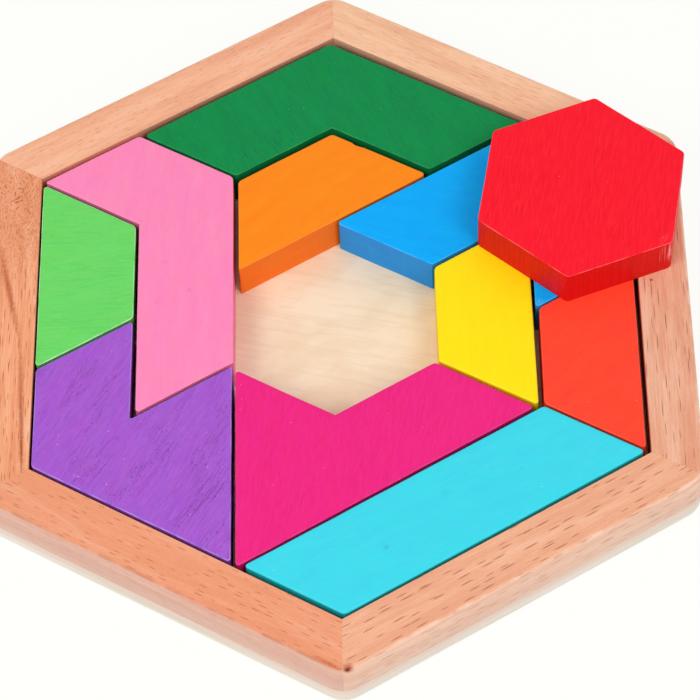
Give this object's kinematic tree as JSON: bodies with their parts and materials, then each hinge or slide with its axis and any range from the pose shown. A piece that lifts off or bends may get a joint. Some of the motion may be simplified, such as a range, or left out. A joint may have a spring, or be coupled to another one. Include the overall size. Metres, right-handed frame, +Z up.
{
  "type": "hexagon tangram puzzle",
  "caption": "Hexagonal wooden tray puzzle: painted blocks made of unit triangles lie inside a mitred beech rim around an open pocket, and the hexagonal block for the pocket lies on top.",
  "frame": {"origin": "centre of the tray's flat underside", "axes": "+Z up out of the tray, +Y towards the tray corner at the back, +X to the right"},
  "size_m": [0.131, 0.1494, 0.0202],
  "materials": {
    "base_board": "sanded pale plywood, unpainted",
    "beech": "sanded beech with a thin clear coat",
    "dark_green_paint": "satin paint on wood",
    "pink_paint": "satin paint on wood",
    "light_green_paint": "satin paint on wood",
    "purple_paint": "satin paint on wood, open pores showing",
    "orange_paint": "satin paint on wood",
    "blue_paint": "satin paint on wood",
    "yellow_paint": "satin paint on wood",
    "red_orange_paint": "satin paint on wood",
    "magenta_paint": "satin paint on wood",
    "cyan_paint": "satin paint on wood",
    "red_paint": "satin paint on wood"
  },
  "bodies": {
    "tray": {"base_board": "base_board", "right_rail": "beech", "back_right_rail": "beech", "back_left_rail": "beech", "left_rail": "beech", "front_left_rail": "beech", "front_right_rail": "beech"},
    "dark_green_block": {"dark_green_chevron": "dark_green_paint"},
    "pink_block": {"pink_hook": "pink_paint"},
    "light_green_block": {"light_green_trapezoid": "light_green_paint"},
    "purple_block": {"purple_hook": "purple_paint"},
    "orange_block": {"orange_trapezoid": "orange_paint"},
    "blue_block": {"blue_hook": "blue_paint"},
    "yellow_block": {"yellow_trapezoid": "yellow_paint"},
    "red_orange_block": {"red_orange_trapezoid": "red_orange_paint"},
    "magenta_block": {"magenta_hook": "magenta_paint"},
    "cyan_block": {"cyan_parallelogram": "cyan_paint"},
    "red_block": {"red_hexagon": "red_paint"}
  },
  "joints": [
    {"name": "dark_green_lift", "type": "slide", "parent": "tray", "child": "dark_green_block", "axis": [0, 0, 1], "range_m": [0, 0.03]},
    {"name": "pink_lift", "type": "slide", "parent": "tray", "child": "pink_block", "axis": [0, 0, 1], "range_m": [0, 0.03]},
    {"name": "light_green_lift", "type": "slide", "parent": "tray", "child": "light_green_block", "axis": [0, 0, 1], "range_m": [0, 0.03]},
    {"name": "purple_lift", "type": "slide", "parent": "tray", "child": "purple_block", "axis": [0, 0, 1], "range_m": [0, 0.03]},
    {"name": "orange_lift", "type": "slide", "parent": "tray", "child": "orange_block", "axis": [0, 0, 1], "range_m": [0, 0.03]},
    {"name": "blue_lift", "type": "slide", "parent": "tray", "child": "blue_block", "axis": [0, 0, 1], "range_m": [0, 0.03]},
    {"name": "yellow_lift", "type": "slide", "parent": "tray", "child": "yellow_block", "axis": [0, 0, 1], "range_m": [0, 0.03]},
    {"name": "red_orange_lift", "type": "slide", "parent": "tray", "child": "red_orange_block", "axis": [0, 0, 1], "range_m": [0, 0.03]},
    {"name": "magenta_lift", "type": "slide", "parent": "tray", "child": "magenta_block", "axis": [0, 0, 1], "range_m": [0, 0.03]},
    {"name": "cyan_lift", "type": "slide", "parent": "tray", "child": "cyan_block", "axis": [0, 0, 1], "range_m": [0, 0.03]},
    {"name": "red_lift", "type": "slide", "parent": "blue_block", "child": "red_block", "axis": [0, 0, 1], "range_m": [0, 0.03]}
  ],
  "couplings": [
    {"joint": "yellow_lift", "follows": "blue_lift", "ratio": 1},
    {"joint": "red_orange_lift", "follows": "blue_lift", "ratio": 1}
  ]
}
